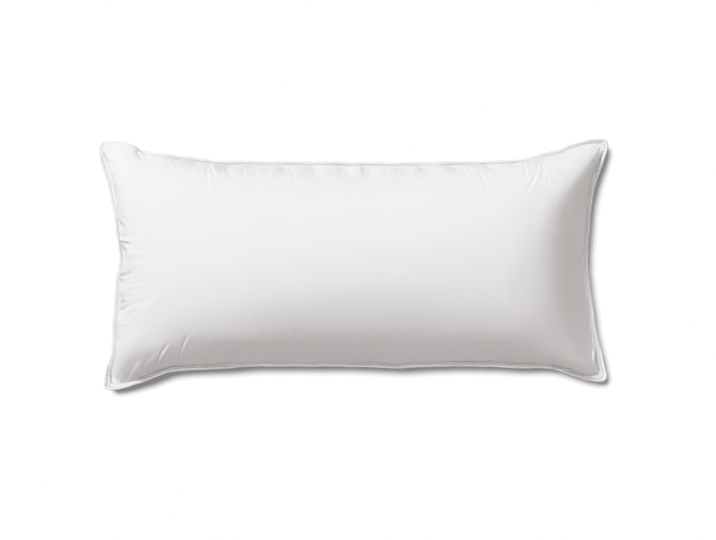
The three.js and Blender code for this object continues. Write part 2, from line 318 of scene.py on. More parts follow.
# ---- The cloth solver ---------------------------------------------------------------------------------
class Panel:
    """A flat-cut panel held at its edge and swollen by an even pressure. Cloth resists stretch fully, and
    compression only by the share `give`, because it wrinkles instead. A sine transform speeds the solve."""

    def __init__(self, X, U, V, sign, give, bend, stretch=12.0, shear=2.0, floor=None):
        self.X, self.sign, self.give, self.bend, self.floor, self.shear = X.copy(), sign, give, bend, floor, shear
        n, m = X.shape[0] - 1, X.shape[1] - 1
        hx, hy = np.diff(U) * CUT[0] * MM, np.diff(V) * CUT[1] * MM
        self.hx, self.hy = hx[:, None], hy[None, :]
        vx = np.r_[hx[0], (hx[1:] + hx[:-1]) / 2, hx[-1]]
        vy = np.r_[hy[0], (hy[1:] + hy[:-1]) / 2, hy[-1]]
        self.kx, self.ky = stretch * vy[None, :] / self.hx, stretch * vx[:, None] / self.hy
        self.diag = np.sqrt(self.hx**2 + self.hy**2)
        i, j = np.arange(1, n), np.arange(1, m)
        self.Sx = np.sin(np.pi * np.outer(i, i) / n) * math.sqrt(2 / n)
        self.Sy = np.sin(np.pi * np.outer(j, j) / m) * math.sqrt(2 / m)
        lx, ly = 2 - 2 * np.cos(np.pi * i / n), 2 - 2 * np.cos(np.pi * j / m)
        lam = (1.15 * (self.kx.mean() * lx[:, None] + self.ky.mean() * ly[None])
               + shear * (4 - 4 * np.outer(np.cos(np.pi * i / n), np.cos(np.pi * j / m))) + bend * (lx[:, None] + ly[None]) ** 2)
        self.inv = 1 / lam

    def forces(self, X):
        F = np.zeros_like(X)

        def spring(a, b, length, k):
            d = X[b] - X[a]
            e = 1 - length / np.sqrt(np.einsum("ijk,ijk->ij", d, d))
            give = self.give if np.ndim(self.give) == 0 else self.give[a]
            d *= (k * np.where(e < 0, e * give, e))[..., None]
            F[a] += d
            F[b] -= d

        A, lo, hi = slice(None), slice(0, -1), slice(1, None)
        spring((lo, A), (hi, A), self.hx, self.kx)
        spring((A, lo), (A, hi), self.hy, self.ky)
        spring((lo, lo), (hi, hi), self.diag, self.shear)
        spring((lo, hi), (hi, lo), self.diag, self.shear)
        L = np.zeros_like(X)
        L[1:-1, 1:-1] = X[:-2, 1:-1] + X[2:, 1:-1] + X[1:-1, :-2] + X[1:-1, 2:] - 4 * X[1:-1, 1:-1]
        F = F[1:-1, 1:-1]
        F -= self.bend * (L[:-2, 1:-1] + L[2:, 1:-1] + L[1:-1, :-2] + L[1:-1, 2:] - 4 * L[1:-1, 1:-1])
        a, b = X[2:, 1:-1] - X[:-2, 1:-1], X[1:-1, 2:] - X[1:-1, :-2]
        p = self.sign * 0.25
        F[..., 0] += p * (a[..., 1] * b[..., 2] - a[..., 2] * b[..., 1])
        F[..., 1] += p * (a[..., 2] * b[..., 0] - a[..., 0] * b[..., 2])
        F[..., 2] += p * (a[..., 0] * b[..., 1] - a[..., 1] * b[..., 0])
        if self.floor is not None:
            F[..., 2][(X[1:-1, 1:-1, 2] <= self.floor) & (F[..., 2] < 0)] = 0
        return F

    def settle(self, steps, momentum=0.85, cap=0.004):
        move = np.zeros_like(self.X[1:-1, 1:-1])
        for _ in range(steps):
            R = self.forces(self.X)
            for c in range(3):
                move[..., c] = momentum * move[..., c] + self.Sx @ ((self.Sx @ R[..., c] @ self.Sy) * self.inv) @ self.Sy
            size = np.sqrt(np.einsum("ijk,ijk->ij", move, move))
            move *= np.minimum(1, cap / np.maximum(size, 1e-12))[..., None]
            inner = self.X[1:-1, 1:-1]
            inner += move
            if self.floor is not None:
                low = inner[..., 2] <= self.floor
                move[..., 2][low] = 0
                inner[..., 2][low] = self.floor
        return self.X


def finer(X):
    """The same sheet with twice the cells each way."""
    def twice(A):
        B = np.empty((2 * A.shape[0] - 1,) + A.shape[1:])
        B[::2] = A
        P = np.concatenate([2 * A[:1] - A[1:2], A, 2 * A[-1:] - A[-2:-1]])
        B[1::2] = (9 * (P[1:-2] + P[2:-1]) - P[:-3] - P[3:]) / 16
        return B
    return np.swapaxes(twice(np.swapaxes(twice(X), 0, 1)), 0, 1)


def unit_normals(X):
    a, b = np.gradient(X, axis=0), np.gradient(X, axis=1)
    n = np.cross(a, b)
    return n / np.maximum(np.linalg.norm(n, axis=-1, keepdims=True), 1e-12)


# ---- Settling the panels --------------------------------------------------------------------------------
# Where the cloth resists being squeezed along its seams, and so puckers. side, share of the way along it
# (the far side from left to right, the left side from near to far), half the stretch's length in share,
# how strongly it gathers, and how far in from the seam it reaches (mm).
GATHERS = [
    ("far", 0.22, 0.10, 1.0, 42), ("far", 0.42, 0.12, 0.7, 30), ("far", 0.62, 0.12, 0.8, 30), ("far", 0.80, 0.10, 1.0, 36), ("far", 0.93, 0.06, 1.0, 30),
    ("left", 0.30, 0.14, 1.0, 34), ("left", 0.50, 0.12, 1.0, 38), ("left", 0.72, 0.12, 1.0, 32), ("left", 0.90, 0.08, 0.8, 28),
    ("near", 0.13, 0.06, 0.8, 34), ("near", 0.26, 0.12, 0.4, 34), ("near", 0.50, 0.16, 0.2, 28), ("near", 0.78, 0.16, 0.2, 28), ("near", 0.94, 0.05, 0.5, 26),
    ("right", 0.20, 0.16, 0.25, 28), ("right", 0.50, 0.18, 0.15, 28), ("right", 0.80, 0.16, 0.3, 30),
]


def gather_share():
    """Per point of a panel, 1 where the cloth may pucker and 0 where it stays smooth."""
    out = np.zeros((NX + 1, NY + 1))
    u, v = U[:, None] + 0 * V[None], V[None] + 0 * U[:, None]
    ways = {"near": (u, v * CUT[1]), "far": (u, (1 - v) * CUT[1]), "left": (v, u * CUT[0]), "right": (v, (1 - u) * CUT[0])}
    for name, at, half, strength, reach in GATHERS:
        t, depth = ways[name]
        out = np.maximum(out, strength * smooth((1.35 - np.abs(t - at) / half) / 0.7) * smooth((reach * 1.35 - depth) / (0.7 * reach)))
    return out


def edge_fade(n, m, cells):
    """0 at a panel's border and 1 from so many cells in."""
    i, j = np.arange(n + 1), np.arange(m + 1)
    return smooth(np.minimum(np.minimum(i, n - i)[:, None], np.minimum(j, m - j)[None]) / cells)


def swollen(sign, crown, sink, fine_steps):
    held = edge[::2].copy()
    held[:, 2] += sign * PANEL_STEP
    start = spread(held, U, V) * MM
    u, v = np.abs(2 * U - 1)[:, None], np.abs(2 * V - 1)[None]
    full = np.clip((1 - u**4.2) * (1 - v**2.15), 0, 1) ** 0.56
    start[..., 2] += ((crown if sign > 0 else sink) * MM - start[..., 2]) * full
    floor = None if sign > 0 else 0.0
    X = finer(Panel(start[::2, ::2], U[::2], V[::2], sign, give=0.05, bend=0.25, floor=floor).settle(380))
    X[0], X[-1], X[:, 0], X[:, -1] = start[0], start[-1], start[:, 0], start[:, -1]
    # A few hundredths of a millimetre of unevenness, so that the puckers start apart.
    x, y = X[..., 0] / MM, X[..., 1] / MM
    seed = (0.25 * spread_noise(x, y, 5 + int(sign > 0), 26.0) + 0.2 * spread_noise(x, y, 15, 13.0)) * MM
    X = X + unit_normals(X) * (seed * edge_fade(NX, NY, 3.0))[..., None]
    if floor is not None:
        X[..., 2] = np.maximum(X[..., 2], floor)
    return Panel(X, U, V, sign, give=0.05 + 0.95 * gather_share(), bend=0.08, floor=floor).settle(fine_steps)


top = swollen(1, 192.0, 0.0, 240)
bottom = swollen(-1, 0.0, -23.0, 100)

# ---- Creases and puckers ----------------------------------------------------------------------------------
# Where the cloth creases one by one. The outer end and the inner end in plan (x0, y0, x1, y1), half the
# width, the depth, the height of the ridge beside it, on the left (or, negative, the right) of the way in,
# and how far the crease bows to the left (mm).
CREASES = [
    # ear and the far side, left
    (-377, 163, -354, 134, 2.2, 2.6, -0.15, 1), (-355, 175, -330, 152, 2.3, 2.4, -0.2, -1.5), (-372, 185, -367, 172, 3.6, 0.45, 0.2, 0),
    (-360, 183, -354, 170, 3.2, 0.45, 0.2, 0), (-329, 171, -318, 156, 2.2, 2.2, -0.3, 0), (-316, 166, -304, 156, 2.4, 0.8, 0.4, 0),
    (-293, 163, -288, 153, 2.4, 0.45, 0.3, 0), (-280, 157, -270, 143, 2.3, 1.1, 0.6, -2), (-261, 156, -243, 147, 2.6, 0.8, 0.3, -1),
    (-242, 148, -239, 122, 2.4, 0.4, 0.3, 0), (-230, 150, -227, 120, 2.4, 0.6, 0.4, 0), (-219, 150, -216, 109, 2.3, 0.8, 0.5, 0),
    (-215, 152, -204, 131, 2.5, 1.3, 0.7, -2), (-198, 147, -195, 123, 2.3, 0.35, 0.25, 0), (-191, 147, -175, 128, 2.8, 0.7, 0.4, -2),
    (-166, 147, -163, 126, 2.5, 0.6, 0.4, 0), (-147, 145, -144, 131, 2.5, 0.35, 0.25, 0), (-127, 147, -125, 131, 2.6, 0.3, 0.2, 0),
    # the far side, middle
    (-96, 147, -86, 120, 2.6, 1.2, 0.6, 2), (-59, 146, -51, 133, 2.5, 0.45, 0.3, 0), (-50, 147, -49, 133, 2.3, 0.8, 0.5, 0),
    (-32, 145, -29, 130, 2.6, 0.35, 0.25, 0), (-8, 146, 0, 133, 2.6, 0.8, 0.45, -1), (16, 146, 12, 131, 2.6, 0.6, -0.3, 0),
    (48, 146, 52, 126, 2.6, 0.3, 0.2, 0), (68, 146, 67, 114, 2.4, 0.35, 0.25, 0), (89, 145, 88, 111, 2.4, 0.3, 0.2, 0),
    (116, 147, 114, 131, 2.6, 0.3, 0.2, 0), (146, 147, 149, 131, 2.3, 0.55, 0.4, 0), (156, 147, 157, 134, 2.3, 0.35, 0.3, 0),
    # the far side, right
    (166, 147, 174, 131, 2.4, 0.8, 0.5, -1), (169, 129, 170, 109, 2.2, 0.5, -0.35, 0), (187, 145, 198, 109, 2.4, 0.95, -0.6, 1),
    (202, 145, 208, 120, 2.3, 0.45, 0.3, 0), (220, 148, 220, 132, 2.3, 0.4, 0.3, 0), (251, 150, 248, 129, 2.3, 0.6, 0.4, 0),
    (257, 150, 262, 126, 2.3, 0.75, 0.5, 0), (272, 148, 265, 129, 2.2, 0.6, 0.4, 0), (279, 153, 252, 99, 2.6, 1.5, 0.9, 5),
    (284, 156, 283, 122, 2.4, 0.8, 0.5, 3), (291, 142, 292, 125, 2.6, 0.5, 0.3, 0), (312, 157, 314, 139, 3, 0.3, 0.2, 0),
    (372, 180, 361, 165, 2.2, 0.6, 0.4, 0), (380, 180, 371, 169, 2, 0.8, 0.5, 0), (366, 184, 363, 173, 2.2, 0.4, 0.3, 0),
    # the left side
    (-352, 71, -338, 63, 2.6, 0.9, -0.5, 0), (-353, 58, -343, 53, 2.2, 1.3, -0.7, 0), (-352, 49, -341, 50, 2, 1.1, -0.6, 0),
    (-355, 41, -316, 41, 2.8, 0.35, -0.3, 0), (-354, 35, -333, 30, 2.3, 2.6, 1.3, 0), (-351, 26, -340, 29, 2, 1.2, -0.4, 0),
    (-338, 20, -301, 21, 4.5, 0.6, -0.3, 0), (-347, 4, -299, 5, 5, 0.6, -0.3, 0), (-354, -19, -329, -12, 2.6, 2.4, -1, -1.5),
    (-335, -21, -325, -24, 2.2, 0.5, -0.3, 0), (-335, -31, -314, -28, 3.2, 0.45, -0.3, 0), (-334, -40, -319, -36, 3, 0.4, -0.3, 0),
    (-355, -51, -326, -49, 2.5, 0.7, -0.4, 1), (-355, -63, -337, -54, 2.3, 0.8, -0.5, 0), (-355, -74, -310, -55, 3, 0.9, -0.6, 1.5),
    (-339, -82, -285, -40, 4.5, 0.5, -0.4, 1), (-356, -80, -340, -81, 2.2, 1.1, -0.5, 0), (-356, -89, -339, -85, 2.2, 0.9, -0.5, 0),
    (-356, -107, -342, -102, 2.4, 0.4, -0.3, 0), (-358, -124, -345, -117, 2.4, 0.35, -0.3, 0),
    # near left
    (-368, -182, -356, -157, 3.2, 0.5, -0.3, 0), (-359, -177, -350, -162, 3.2, 1.2, -0.2, 0), (-346, -162, -334, -146, 3.4, 0.6, -0.3, 0),
    (-343, -174, -321, -141, 5, 1.4, -0.5, 1.5), (-317, -154, -298, -132, 4.2, 0.9, -0.3, 0),
    (-295, -150, -278, -120, 1.9, 2.2, -2.2, 1.5), (-285, -154, -269, -129, 3, 0.6, -0.4, 0), (-274, -151, -260, -121, 3, 0.5, -0.4, 0),
    (-261, -141, -247, -107, 2.3, 2.2, -2, 2), (-251, -147, -243, -123, 2.6, 0.5, -0.4, 0), (-235, -145, -228, -126, 3, 0.3, -0.2, 0),
    (-221, -146, -212, -124, 3, 0.4, -0.3, 0),
    # the near shoulder
    (-228, -123, -225, -104, 2.6, 0.21, -0.15, 0), (-218, -123, -214, -103, 2.8, 0.21, -0.15, 0),
    (-189, -124, -184, -106, 3, 0.34, -0.15, 0), (-182, -124, -172, -104, 2.8, 0.77, -0.45, 1),
    (-152, -118, -148, -100, 3, 0.34, -0.19, 0), (-128, -117, -126, -98, 3, 0.3, -0.19, 0), (-108, -115, -105, -95, 2.6, 0.42, -0.26, 0),
    (-99, -120, -94, -92, 3.4, 1.02, -0.6, 1), (-84, -113, -82, -95, 3, 0.34, -0.15, 0), (-53, -115, -53, -100, 3.2, 0.26, -0.15, 0),
    (0, -118, 1, -98, 3.4, 0.77, -0.45, 0), (19, -115, 21, -100, 3, 0.34, -0.19, 0), (58, -118, 60, -101, 3.2, 0.38, -0.22, 0),
    (87, -117, 88, -98, 3, 0.26, -0.15, 0), (129, -118, 130, -101, 3.2, 0.3, -0.19, 0), (172, -117, 173, -100, 3, 0.26, -0.15, 0),
    # the right shoulder
    (322, 96, 309, 86, 3.4, 0.62, 0.12, 0), (326, 72, 311, 77, 3, 0.44, 0.3, 0), (322, 57, 306, 59, 2.6, 0.69, 0.48, 0),
    (317, 39, 300, 42, 2.8, 0.62, 0.42, 0), (315, 20, 298, 23, 2.6, 0.62, 0.42, 0), (318, 9, 301, 9, 2.6, 1.25, 0.96, 0),
    (314, -11, 295, -9, 2.8, 1.25, 0.6, 0), (322, -27, 308, -30, 2.4, 0.62, 0.6, 0), (322, -39, 297, -38, 2.2, 0.75, 0.42, 0),
    (323, -45, 300, -44, 2.2, 0.75, 0.42, 0), (325, -59, 309, -55, 2.6, 1.25, 0.96, 0), (330, -69, 308, -68, 2.4, 1.12, 0.72, 0),
    (325, -81, 310, -77, 2.8, 0.5, 0.36, 0),
    # near right
    (297, -153, 300, -141, 2.4, 0.9, -0.5, 0), (309, -159, 317, -147, 2.4, 0.6, -0.4, 0), (371, -167, 359, -154, 2.6, 0.5, 0.3, 0),
    (332, -162, 337, -151, 2.6, 0.3, -0.2, 0),
]

# The small puckers along every seam, between the ones above. side, spacing, length, half width, depth (mm)
PUCKERS = [
    ("near", 13.0, 9.0, 2.2, .08), ("right", 12.0, 9.0, 2.2, .08), ("far", 10.5, 14.0, 2.3, .34), ("left", 10.0, 12.0, 2.2, .38),
]


def valley(off, deep, ridge):
    """A crease's section: a valley at 0, and a ridge one half width past it, on the side of ridge's sign."""
    off = off * np.sign(ridge)
    ridge = np.abs(ridge)
    low = np.where(off < 0, -deep * smooth((off + 2.3) / 2.3), -deep + (deep + ridge) * smooth(off))
    return np.where(off < 1, low, ridge * (1 - smooth((off - 1) / 2.4)))


def crease_lift(P, rows):
    """How far the creases lift each point along its normal (mm)."""
    x, y = P[..., 0] / MM, P[..., 1] / MM
    out = np.zeros_like(x)
    for x0, y0, x1, y1, half, deep, ridge, bow in rows:
        length = math.hypot(x1 - x0, y1 - y0)
        pad = 4 * half + abs(bow) + 4
        i, j = np.nonzero((x > min(x0, x1) - pad) & (x < max(x0, x1) + pad) & (y > min(y0, y1) - pad) & (y < max(y0, y1) + pad))
        if len(i) == 0:
            continue
        ux, uy = (x1 - x0) / length, (y1 - y0) / length
        px, py = x[i, j] - x0, y[i, j] - y0
        along = (px * ux + py * uy) / length
        off = (-px * uy + py * ux - bow * 4 * along * (1 - along)) / (half * (0.8 + 0.4 * np.clip(along, 0, 1)))
        ends = smooth((along + 0.12) / 0.3) * smooth((1.15 - along) / 0.55)
        out[i, j] += ends * valley(off, deep, ridge)
    return out


def pucker_lift(P, seed, gain=1.0):
    """The small puckers along the seams, at the places that a fixed seed gives (mm)."""
    rng = np.random.RandomState(seed)
    out = np.zeros(P.shape[:2])
    steps = {0: np.linalg.norm(np.diff(P, axis=0), axis=2) / MM, 1: np.linalg.norm(np.diff(P, axis=1), axis=2) / MM}
    in_u = np.vstack([np.zeros((1, P.shape[1])), np.cumsum(steps[0], axis=0)])
    in_v = np.hstack([np.zeros((P.shape[0], 1)), np.cumsum(steps[1], axis=1)])
    ways = {"near": (in_u[:, 0][:, None], in_v), "far": (in_u[:, -1][:, None], in_v[:, -1:] - in_v),
            "left": (in_v[0][None], in_u), "right": (in_v[-1][None], in_u[-1:] - in_u)}
    for name, spacing, length, half, deep in PUCKERS:
        s, d = ways[name]
        total = s.max()
        place = 16.0
        while place < total - 16:
            reach = length * rng.uniform(.5, 1.7)
            wide = half * rng.uniform(.8, 1.5)
            sink = gain * deep * rng.uniform(.15, 1.25) * (1 if rng.uniform() < .8 else .2)
            lean, side = rng.uniform(-.45, .45), rng.choice([-1, 1])
            near_seam = d < reach * 1.3
            off = (s - place - lean * d) / (wide * (1 + .5 * d / reach))
            out += np.where(near_seam, valley(off, sink, side * sink * .7) * smooth((d + 1.5) / 4) * smooth((reach * 1.3 - d) / reach), 0)
            place += spacing * rng.uniform(.5, 1.6)
    return out


def rolled_out(P):
    """The ear's roll: points near the far left corner's seam carried outward and up over the piping."""
    zone = np.flatnonzero(np.abs(loop_gap(ring_s, corner_at["far_left"]) + (EAR_FAR - EAR_LEFT) / 2) < (EAR_FAR + EAR_LEFT) / 2 + 70)
    rows = np.array(EAR_ROLL, float)
    i, j = np.nonzero((P[..., 0] / MM < edge[zone, 0].max() + 10) & (P[..., 1] / MM > edge[zone, 1].min() - 60) & (np.linalg.norm((P[..., :2] / MM)[..., None, :] - edge[None, None, zone[::12], :2], axis=3).min(axis=2) < 60))
    q = P[i, j] / MM
    gap = np.linalg.norm(q[:, None] - (edge[zone] + [0, 0, PANEL_STEP])[None], axis=2)
    weight = np.exp(-(gap - gap.min(axis=1, keepdims=True)) / 3.0)
    weight /= weight.sum(axis=1, keepdims=True)
    way = gap.min(axis=1)
    out = (weight[..., None] * (ring_out[zone] * ear[zone, None])[None]).sum(axis=1)
    much = (weight * ear[zone][None]).sum(axis=1)
    push, lift = monotone(rows[:, :2], np.minimum(way, 47.9)), monotone(rows[:, [0, 2]], np.minimum(way, 47.9))
    new = P.copy()
    new[i, j, :2] += out * push[:, None] * MM
    new[i, j, 2] += much * lift * MM
    return new


def shifted(P):
    """The flanks' falling away moved, by the tables above."""
    x, y = P[..., 0] / MM, P[..., 1] / MM

    def at(rows, q):
        return monotone(rows, np.clip(q, rows[0][0], rows[-1][0]))

    P = P.copy()
    P[..., 1] += at(NEAR_SHIFT, y) * at(NEAR_ALONG, x) * MM
    # The right flank, row by row: each height moves to where the slopes of the table bring it.
    way = np.linspace(0, RIGHT_FALL[-1][0], 600)
    slope = monotone(RIGHT_FALL, way)
    rise = np.r_[0, np.cumsum(np.diff(way) * (slope[1:] + slope[:-1]) / 2)]
    for j in range(P.shape[1]):
        row_x, row_z = x[:, j], P[:, j, 2] / MM
        i = np.flatnonzero(row_x > row_x[-1] - way[-1])
        height = np.interp(row_x[-1] - way[-1], row_x, row_z) - row_z[-1]
        moved = row_x[-1] - np.interp(row_z[i] - row_z[-1], rise * height / rise[-1], way)
        P[i, j, 0] += (moved - row_x[i]) * at(RIGHT_ALONG, y[i, j]) * MM
    return P


def ironed(P):
    """The right and the near flank without the long wrinkles of the settling, which the pillow doesn't show there."""
    P = P.copy()
    for Q, deep in ((P[::-1], 84), (P.transpose(1, 0, 2), 62)):
        part = Q[:deep].copy()
        soft = part.copy()
        for _ in range(220):
            soft[:, 1:-1] = (soft[:, :-2] + 2 * soft[:, 1:-1] + soft[:, 2:]) / 4
        i, j = np.arange(deep)[:, None], np.arange(Q.shape[1])[None]
        weight = smooth((deep - i) / (0.45 * deep)) * smooth(i / 8) * smooth((np.minimum(j, Q.shape[1] - 1 - j) - 14) / 30)
        Q[:deep] += (soft - part) * weight[..., None]
    return P


def grid_loop(a):
    """The edge points of a grid, in the loop's order."""
    return np.concatenate([a[:-1, 0], a[-1, :-1], a[:0:-1, -1], a[0, :0:-1]])


def with_border(P, line, step):
    """A panel with its border laid exactly on the sewn edge."""
    n, m = P.shape[0] - 1, P.shape[1] - 1
    p = line.copy()
    p[:, 2] += step
    near, right, far, left = ring_sides(p * MM, n, m)
    P = P.copy()
    P[:, 0], P[-1], P[:, -1], P[0] = near, right, far, left
    return P


top = rolled_out(with_border(shifted(ironed(finer(top))), edge, PANEL_STEP))
x, y = top[..., 0] / MM, top[..., 1] / MM
lift = crease_lift(top, CREASES) + pucker_lift(top, 11) + 0.22 * spread_noise(x, y, 31, 46.0) + 0.10 * spread_noise(x, y, 32, 17.0) * (1 - edge_fade(2 * NX, 2 * NY, 28.0))
top = top + unit_normals(top) * (lift * edge_fade(2 * NX, 2 * NY, 3.0) * MM)[..., None]
bottom = with_border(bottom, edge[::2], -PANEL_STEP)
lift = (pucker_lift(bottom, 12) + 0.22 * spread_noise(bottom[..., 0] / MM, bottom[..., 1] / MM, 33, 46.0)) * edge_fade(NX, NY, 2.0)
bottom = bottom - unit_normals(bottom) * (lift * smooth(bottom[..., 2] / MM / 20) * MM)[..., None]
bottom[..., 2] = np.maximum(bottom[..., 2], 0)


# ---- The cover: both panels and the sewn edge between them, one closed mesh ------------------------------
def sheet(P, budget):
    """A panel's cells: its finest ones along the border and where it creases, and two and four times as
    wide where it lies smooth. Returns the grid of points in use and the faces, as grid places."""
    n, m = P.shape[0] - 1, P.shape[1] - 1

    def bend(Q):
        """How far the middles of 2 by 2 blocks of cells lie off straight, per cell width."""
        a, b = Q[:-2:2], Q[2::2]
        size = np.linalg.norm(b - a, axis=2)
        e1 = np.linalg.norm(Q[1::2] - (a + b) / 2, axis=2) / size
        c, d = Q[:, :-2:2], Q[:, 2::2]
        size = np.linalg.norm(d - c, axis=2)
        e2 = np.linalg.norm(Q[:, 1::2] - (c + d) / 2, axis=2) / size
        across = np.maximum(np.maximum(e1[:, :-2:2], e1[:, 2::2]), e1[:, 1::2])
        return np.maximum(across, np.maximum(np.maximum(e2[:-2:2], e2[2::2]), e2[1::2]))

    def near_too(mask):
        p = np.pad(mask, 1)
        return np.any([p[a:a + mask.shape[0], b:b + mask.shape[1]] for a in range(3) for b in range(3)], axis=0)

    def cells(limit):
        split1 = near_too(bend1 > limit)
        split1[0] = split1[-1] = split1[:, 0] = split1[:, -1] = True
        grown = near_too(split1)
        split0 = (bend0 > limit) | np.any([grown[a::2, b::2] for a in (0, 1) for b in (0, 1)], axis=0)
        split1 &= np.repeat(np.repeat(split0, 2, 0), 2, 1)
        return split0, split1

    def count(split0, split1):
        return 2 * (4 * split1.sum() + (4 * split0.sum() - split1.sum()) + (split0.size - split0.sum())) * 1.03

    bend1, bend0 = bend(P), bend(P[::2, ::2])
    lo, hi = 1e-6, 1.0
    for _ in range(40):
        mid = math.sqrt(lo * hi)
        if count(*cells(mid)) > budget:
            lo = mid
        else:
            hi = mid
    split0, split1 = cells(hi)
    used = np.zeros((n + 1, m + 1), bool)
    kinds = []
    for step, mask in ((1, np.repeat(np.repeat(split1, 2, 0), 2, 1)), (2, np.repeat(np.repeat(split0, 2, 0), 2, 1) & ~split1), (4, ~split0)):
        i, j = np.nonzero(mask)
        i, j = i * step, j * step
        for a in (0, step):
            for b in (0, step):
                used[i + a, j + b] = True
        kinds.append((step, i, j))
    quads, others = [], []
    place = np.arange((n + 1) * (m + 1)).reshape(n + 1, m + 1)
    for step, i, j in kinds:
        walk = [(0, 0), (step, 0), (step, step), (0, step)]
        if step == 1:
            quads.append(np.column_stack([place[i + a, j + b] for a, b in walk]))
            continue
        h = step // 2
        mids = [(h, 0), (step, h), (h, step), (0, h)]
        has = np.column_stack([used[i + a, j + b] for a, b in mids])
        plain = ~has.any(axis=1)
        quads.append(np.column_stack([place[i[plain] + a, j[plain] + b] for a, b in walk]))
        for k in np.flatnonzero(~plain):
            face = []
            for c in range(4):
                face.append(place[i[k] + walk[c][0], j[k] + walk[c][1]])
                if has[k, c]:
                    face.append(place[i[k] + mids[c][0], j[k] + mids[c][1]])
            others.append(face)
    return used, np.vstack(quads), others


# The sewn edge's section, from the panel in the front to the groove behind the piping: the share of the
# way from the groove to the allowance's inner fold, the height (mm), and the height where the seam is
# pulled flat, along the far side and less so along the left one.
ALLOWANCE = [(1.0, -0.6, 1.0), (0.87, 1.7, 1.6), (0.5, 2.2, 2.0), (0.14, 1.7, 1.75), (0.0, 0.4, 1.3)]
GROOVE_AT, GROOVE_END = 2.95, 3.7


def sewn_ring(part, sign, every):
    """One line of points round the sewn edge."""
    p = ring[::every].copy()
    out, e, inset = ring_out[::every], edge[::every], np.linalg.norm((edge - ring)[::every, :2], axis=1)
    groove = p[:, :2] - out * GROOVE_AT
    span = np.linalg.norm(e[:, :2] - groove, axis=1)
    fold_at = np.clip(1 - 1.5 / span, 0.4, 0.87)  # the allowance's inner fold, as a share of the way to the panel
    s, folds, flat = ring_s[::every], edge_crumple[::every], pulled_flat[::every]
    if part == "middle":
        share, z = (1 + fold_at) / 2, -1.3 + 2.2 * flat
    elif part == "end":
        p[:, :2] -= out * GROOVE_END
        return p * MM
    else:
        share, z = part[0] * fold_at, part[1] + (part[2] - part[1]) * flat
    if sign < 0 and (part == "middle" or part[0] == 1):
        z = np.maximum(z, 2.3 - 1.4 * flat)
    p[:, :2] = groove + (e[:, :2] - groove) * share[:, None]
    pleat = np.sin(2 * np.pi * s / (ring_len / 410) + 1.7 * share * span + 1.5 * np.sin(s / 31.0))
    if part == "middle" or 0.1 < part[0]:
        z = z * np.where(z > 1, allowance[::every], 1) + folds * (0.5 + 0.5 * pleat) + 0.06 * np.sin(2 * np.pi * s / (ring_len / 523))
    p[:, 2] += sign * z
    return p * MM


def cover_mesh():
    """Points, faces with four corners, other faces, and each point's place on its flat-cut panel (m)."""
    top_used, top_quads, top_others = sheet(top, 131000)
    low_used, low_quads, low_others = sheet(bottom, 27000)
    flat = np.stack([np.broadcast_to((UF * CUT[0] * MM)[:, None], top_used.shape), np.broadcast_to((VF * CUT[1] * MM)[None], top_used.shape), np.zeros(top_used.shape)], -1)
    other_side = np.array([0, 1.0, 0])
    verts, cloth, quads, others = [], [], [], []
    base = 0

    def add(points, where):
        nonlocal base
        verts.append(points)
        cloth.append(where)
        ids = np.arange(base, base + len(points))
        base += len(points)
        return ids

    def add_sheet(P, used, fours, rest, where, flip):
        ids = np.full(used.size, -1)
        ids[used.ravel()] = add(P[used], where[used])
        fours = ids[fours]
        quads.append(fours[:, ::-1] if flip else fours)
        others.extend([[int(ids[k]) for k in (face[::-1] if flip else face)] for face in rest])
        return grid_loop(ids.reshape(used.shape))

    def strip(a, b):
        quads.append(np.column_stack([a, b, np.roll(b, -1), np.roll(a, -1)]))

    border = grid_loop(flat)
    last = add_sheet(top, top_used, top_quads, top_others, flat, False)
    for part in ["middle"] + ALLOWANCE:
        ids = add(sewn_ring(part, 1, 1), border)
        strip(last, ids)
        last = ids
    middle = add(sewn_ring("end", 0, 2), border[::2])
    for k in range(len(middle)):  # from the front's fine steps to the back's wider ones
        a, b = 2 * k, (k + 1) % len(middle)
        others.append([int(last[a]), int(middle[k]), int(middle[b]), int(last[(a + 2) % NB]), int(last[a + 1])])
    last = middle
    for part in ALLOWANCE[::-1] + ["middle"]:
        ids = add(sewn_ring(part, -1, 2), border[::2] + other_side)
        strip(last, ids)
        last = ids
    low = add_sheet(bottom, low_used, low_quads, low_others, flat[::2, ::2] + other_side, True)
    strip(last, low)
    return np.vstack(verts), np.vstack(quads), others, np.vstack(cloth)


def make_mesh(name, verts, quads, others=()):
    sizes = np.concatenate([np.full(len(quads), 4), [len(f) for f in others]]).astype(np.int32)
    corners = np.concatenate([quads.ravel(), [k for f in others for k in f]]).astype(np.int32)
    me = bpy.data.meshes.new(name)
    me.vertices.add(len(verts))
    me.vertices.foreach_set("co", np.asarray(verts, np.float32).ravel())
    me.loops.add(len(corners))
    me.loops.foreach_set("vertex_index", corners)
    me.polygons.add(len(sizes))
    me.polygons.foreach_set("loop_start", np.r_[0, np.cumsum(sizes)[:-1]].astype(np.int32))
    me.polygons.foreach_set("use_smooth", np.ones(len(sizes), bool))
    me.update(calc_edges=True)
    me.validate()
    ob = bpy.data.objects.new(name, me)
    bpy.context.scene.collection.objects.link(ob)
    print(name, "points", len(verts), "triangles", int((sizes - 2).sum()))
    return ob


def point_vectors(ob, name, values):
    a = ob.data.attributes.new(name, "FLOAT_VECTOR", "POINT")
    a.data.foreach_set("vector", np.asarray(values, np.float32).ravel())


verts, quads, others, cloth = cover_mesh()
cover = make_mesh("pillow_cover", verts, quads, others)
point_vectors(cover, "cloth", cloth)

# ---- The piping: a covered cord with its flange -----------------------------------------------------------
CORD_STEPS, CORD_SIDES = 2200, 22


